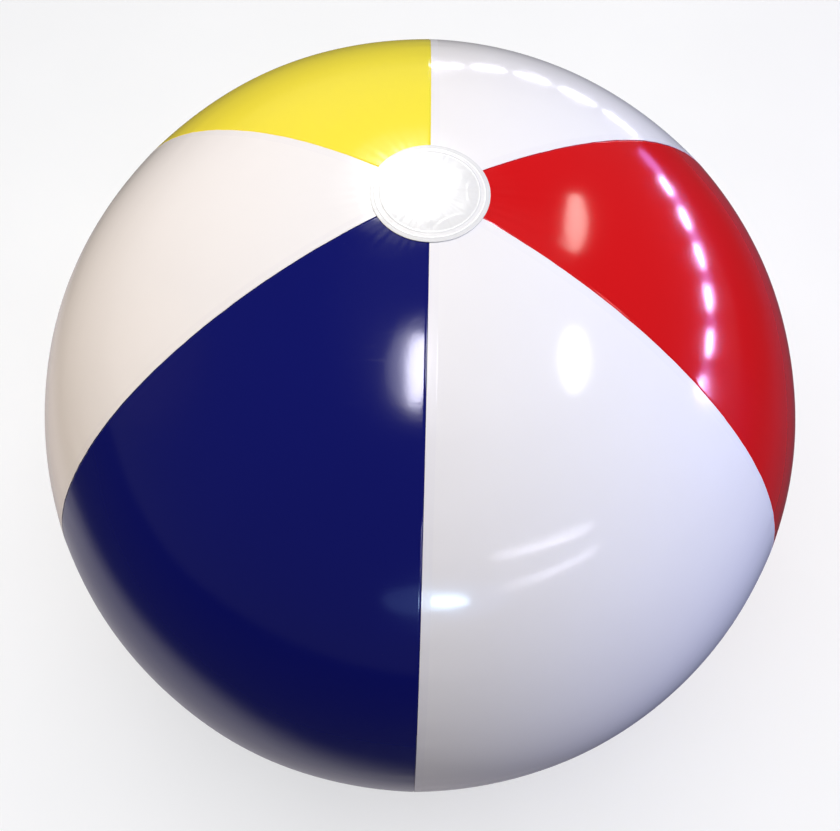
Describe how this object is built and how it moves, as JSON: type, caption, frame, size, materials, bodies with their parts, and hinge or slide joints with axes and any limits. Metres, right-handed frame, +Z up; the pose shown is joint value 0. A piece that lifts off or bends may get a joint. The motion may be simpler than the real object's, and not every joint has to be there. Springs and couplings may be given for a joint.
{
  "type": "inflatable beach ball",
  "caption": "Large round inflatable ball of alternating white and coloured vinyl panels, with round end patches and a push-in air valve with a strapped plug.",
  "frame": {"origin": "on the floor under the middle of the ball, at the centre of the lower end patch", "axes": "+Z up through both poles; -Y towards the seam between the navy panel and the front white panel, +X through the middle of the red panel"},
  "size_m": [0.774, 0.776, 0.7761],
  "materials": {
    "red_film": "glossy red PVC film",
    "yellow_film": "glossy yellow PVC film",
    "navy_film": "glossy navy blue PVC film",
    "white_film": "glossy white PVC film",
    "milky_film": "translucent milky PVC film, glossy, with a welded ring",
    "valve_vinyl": "soft moulded PVC, satin"
  },
  "bodies": {
    "ball": {"panel_red": "red_film", "panel_white_back": "white_film", "panel_yellow": "yellow_film", "panel_white_left": "white_film", "panel_navy": "navy_film", "panel_white_front": "white_film", "end_patch_top": "milky_film", "end_patch_bottom": "milky_film", "valve_flange": "valve_vinyl", "valve_cup": "valve_vinyl"},
    "stem": {"valve_stem": "valve_vinyl"},
    "plug": {"valve_plug": "valve_vinyl", "plug_strap": "valve_vinyl"},
    "flap": {"check_flap": "valve_vinyl"}
  },
  "joints": [
    {"name": "valve_pop", "type": "slide", "parent": "ball", "child": "stem", "axis": [-0.9447, 0, -0.3279], "range_m": [0, 0.02], "deforming": ["valve_cup"]},
    {"name": "plug_pull", "type": "slide", "parent": "stem", "child": "plug", "axis": [-0.9447, 0, -0.3279], "range_m": [0, 0.005], "deforming": ["plug_strap"]},
    {"name": "flap_open", "type": "hinge", "parent": "stem", "child": "flap", "pos_m": [-0.35125, -0.0046, 0.26461], "axis": [0.3279, 0, -0.9447], "range_deg": [0, 60]}
  ]
}
